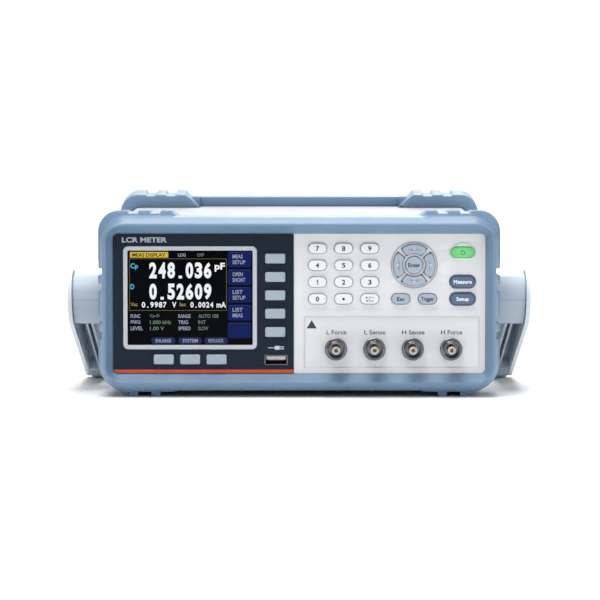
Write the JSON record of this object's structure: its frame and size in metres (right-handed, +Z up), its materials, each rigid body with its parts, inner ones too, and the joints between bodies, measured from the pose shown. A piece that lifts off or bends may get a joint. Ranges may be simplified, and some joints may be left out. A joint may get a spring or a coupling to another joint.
{
  "type": "lcr meter",
  "caption": "Bench component meter: steel sleeve between moulded bumpers, colour screen, keypad, coaxial jacks and a swinging carrying handle.",
  "frame": {"origin": "on the bench, under the middle of the box round the whole part with the handle stowed", "axes": "+X runs to the right across the front, +Y from the front panel to the back, +Z up"},
  "size_m": [0.269, 0.312, 0.107],
  "materials": {
    "bumper_moulding": "fine matt grain",
    "case_paint": "satin powder coat",
    "pan_steel": "zinc-plated sheet, satin",
    "bezel_moulding": "fine matt grain",
    "display_moulding": "semi-gloss",
    "accent_moulding": "semi-gloss",
    "trim_silver": "metallic paint, satin",
    "screen_glass": "clear, lit display behind",
    "inner_dark": "moulded",
    "jack_plate_moulding": "smooth, satin",
    "nickel_plate": "bright nickel",
    "white_insulator": "smooth",
    "gold_contact": "gold-plated",
    "light_guide": "milky, translucent",
    "board_laminate": "solder mask",
    "board_parts": "mixed components",
    "power_parts": "mixed components",
    "inlet_black": "moulded",
    "screw_steel": "zinc-plated",
    "handle_moulding": "fine matt grain",
    "handle_cover_moulding": "fine matt grain",
    "rocker_red": "moulded",
    "key_soft": "smooth, satin",
    "key_green": "translucent, lit",
    "key_slate": "smooth, satin",
    "key_blue": "smooth, satin",
    "key_white": "smooth, satin"
  },
  "bodies": {
    "case": {"front_bumper": "bumper_moulding", "rear_bumper": "bumper_moulding", "top_cover": "case_paint", "bottom_pan": "pan_steel", "rear_panel": "pan_steel", "front_bezel": "bezel_moulding", "display_panel": "display_moulding", "accent_strip": "accent_moulding", "lcd_frame": "trim_silver", "lcd_window": "screen_glass", "lcd_module": "inner_dark", "jack_plate": "jack_plate_moulding", "jack_bodies": "nickel_plate", "jack_insulators": "white_insulator", "jack_contacts": "gold_contact", "jack_nuts": "nickel_plate", "usb_host_port": "nickel_plate", "power_light_ring": "light_guide", "front_board": "board_laminate", "key_switches": "inner_dark", "main_board": "board_laminate", "main_board_parts": "board_parts", "power_supply": "power_parts", "mains_inlet": "inlet_black", "rear_ports": "nickel_plate", "handle_hubs": "inner_dark", "screws": "screw_steel"},
    "key_7": {"key_7": "key_white"},
    "key_8": {"key_8": "key_white"},
    "key_9": {"key_9": "key_white"},
    "key_4": {"key_4": "key_white"},
    "key_5": {"key_5": "key_white"},
    "key_6": {"key_6": "key_white"},
    "key_1": {"key_1": "key_white"},
    "key_2": {"key_2": "key_white"},
    "key_3": {"key_3": "key_white"},
    "key_0": {"key_0": "key_white"},
    "key_point": {"key_point": "key_white"},
    "key_sign": {"key_sign": "key_white"},
    "key_up": {"key_up": "key_blue"},
    "key_down": {"key_down": "key_blue"},
    "key_left": {"key_left": "key_blue"},
    "key_right": {"key_right": "key_blue"},
    "key_enter": {"key_enter": "key_blue"},
    "key_esc": {"key_esc": "key_blue"},
    "key_trigger": {"key_trigger": "key_blue"},
    "key_power": {"key_power": "key_green"},
    "key_measure": {"key_measure": "key_slate"},
    "key_setup": {"key_setup": "key_slate"},
    "soft_key_1": {"soft_key_1": "key_soft"},
    "soft_key_2": {"soft_key_2": "key_soft"},
    "soft_key_3": {"soft_key_3": "key_soft"},
    "soft_key_4": {"soft_key_4": "key_soft"},
    "soft_key_5": {"soft_key_5": "key_soft"},
    "page_key_1": {"page_key_1": "key_soft"},
    "page_key_2": {"page_key_2": "key_soft"},
    "page_key_3": {"page_key_3": "key_soft"},
    "handle": {"handle_frame": "handle_moulding", "handle_covers": "handle_cover_moulding"},
    "rocker": {"mains_rocker": "rocker_red"}
  },
  "joints": [
    {"name": "handle_swing", "type": "hinge", "parent": "case", "child": "handle", "pos_m": [0, -0.1, 0.0535], "axis": [-1, 0, 0], "range_deg": [0, 290]},
    {"name": "rocker_tilt", "type": "hinge", "parent": "case", "child": "rocker", "pos_m": [-0.0625, 0.1458, 0.0705], "axis": [0, 0, -1], "range_deg": [0, 18]},
    {"name": "key_7_press", "type": "slide", "parent": "case", "child": "key_7", "axis": [0, 1, 0], "range_m": [0, 0.001], "stiffness_N_per_m": 600},
    {"name": "key_8_press", "type": "slide", "parent": "case", "child": "key_8", "axis": [0, 1, 0], "range_m": [0, 0.001], "stiffness_N_per_m": 600},
    {"name": "key_9_press", "type": "slide", "parent": "case", "child": "key_9", "axis": [0, 1, 0], "range_m": [0, 0.001], "stiffness_N_per_m": 600},
    {"name": "key_4_press", "type": "slide", "parent": "case", "child": "key_4", "axis": [0, 1, 0], "range_m": [0, 0.001], "stiffness_N_per_m": 600},
    {"name": "key_5_press", "type": "slide", "parent": "case", "child": "key_5", "axis": [0, 1, 0], "range_m": [0, 0.001], "stiffness_N_per_m": 600},
    {"name": "key_6_press", "type": "slide", "parent": "case", "child": "key_6", "axis": [0, 1, 0], "range_m": [0, 0.001], "stiffness_N_per_m": 600},
    {"name": "key_1_press", "type": "slide", "parent": "case", "child": "key_1", "axis": [0, 1, 0], "range_m": [0, 0.001], "stiffness_N_per_m": 600},
    {"name": "key_2_press", "type": "slide", "parent": "case", "child": "key_2", "axis": [0, 1, 0], "range_m": [0, 0.001], "stiffness_N_per_m": 600},
    {"name": "key_3_press", "type": "slide", "parent": "case", "child": "key_3", "axis": [0, 1, 0], "range_m": [0, 0.001], "stiffness_N_per_m": 600},
    {"name": "key_0_press", "type": "slide", "parent": "case", "child": "key_0", "axis": [0, 1, 0], "range_m": [0, 0.001], "stiffness_N_per_m": 600},
    {"name": "key_point_press", "type": "slide", "parent": "case", "child": "key_point", "axis": [0, 1, 0], "range_m": [0, 0.001], "stiffness_N_per_m": 600},
    {"name": "key_sign_press", "type": "slide", "parent": "case", "child": "key_sign", "axis": [0, 1, 0], "range_m": [0, 0.001], "stiffness_N_per_m": 600},
    {"name": "key_up_press", "type": "slide", "parent": "case", "child": "key_up", "axis": [0, 1, 0], "range_m": [0, 0.001], "stiffness_N_per_m": 600},
    {"name": "key_down_press", "type": "slide", "parent": "case", "child": "key_down", "axis": [0, 1, 0], "range_m": [0, 0.001], "stiffness_N_per_m": 600},
    {"name": "key_left_press", "type": "slide", "parent": "case", "child": "key_left", "axis": [0, 1, 0], "range_m": [0, 0.001], "stiffness_N_per_m": 600},
    {"name": "key_right_press", "type": "slide", "parent": "case", "child": "key_right", "axis": [0, 1, 0], "range_m": [0, 0.001], "stiffness_N_per_m": 600},
    {"name": "key_enter_press", "type": "slide", "parent": "case", "child": "key_enter", "axis": [0, 1, 0], "range_m": [0, 0.001], "stiffness_N_per_m": 600},
    {"name": "key_esc_press", "type": "slide", "parent": "case", "child": "key_esc", "axis": [0, 1, 0], "range_m": [0, 0.001], "stiffness_N_per_m": 600},
    {"name": "key_trigger_press", "type": "slide", "parent": "case", "child": "key_trigger", "axis": [0, 1, 0], "range_m": [0, 0.001], "stiffness_N_per_m": 600},
    {"name": "key_power_press", "type": "slide", "parent": "case", "child": "key_power", "axis": [0, 1, 0], "range_m": [0, 0.001], "stiffness_N_per_m": 600},
    {"name": "key_measure_press", "type": "slide", "parent": "case", "child": "key_measure", "axis": [0, 1, 0], "range_m": [0, 0.001], "stiffness_N_per_m": 600},
    {"name": "key_setup_press", "type": "slide", "parent": "case", "child": "key_setup", "axis": [0, 1, 0], "range_m": [0, 0.001], "stiffness_N_per_m": 600},
    {"name": "soft_key_1_press", "type": "slide", "parent": "case", "child": "soft_key_1", "axis": [0, 1, 0], "range_m": [0, 0.001], "stiffness_N_per_m": 600},
    {"name": "soft_key_2_press", "type": "slide", "parent": "case", "child": "soft_key_2", "axis": [0, 1, 0], "range_m": [0, 0.001], "stiffness_N_per_m": 600},
    {"name": "soft_key_3_press", "type": "slide", "parent": "case", "child": "soft_key_3", "axis": [0, 1, 0], "range_m": [0, 0.001], "stiffness_N_per_m": 600},
    {"name": "soft_key_4_press", "type": "slide", "parent": "case", "child": "soft_key_4", "axis": [0, 1, 0], "range_m": [0, 0.001], "stiffness_N_per_m": 600},
    {"name": "soft_key_5_press", "type": "slide", "parent": "case", "child": "soft_key_5", "axis": [0, 1, 0], "range_m": [0, 0.001], "stiffness_N_per_m": 600},
    {"name": "page_key_1_press", "type": "slide", "parent": "case", "child": "page_key_1", "axis": [0, 1, 0], "range_m": [0, 0.001], "stiffness_N_per_m": 600},
    {"name": "page_key_2_press", "type": "slide", "parent": "case", "child": "page_key_2", "axis": [0, 1, 0], "range_m": [0, 0.001], "stiffness_N_per_m": 600},
    {"name": "page_key_3_press", "type": "slide", "parent": "case", "child": "page_key_3", "axis": [0, 1, 0], "range_m": [0, 0.001], "stiffness_N_per_m": 600}
  ]
}
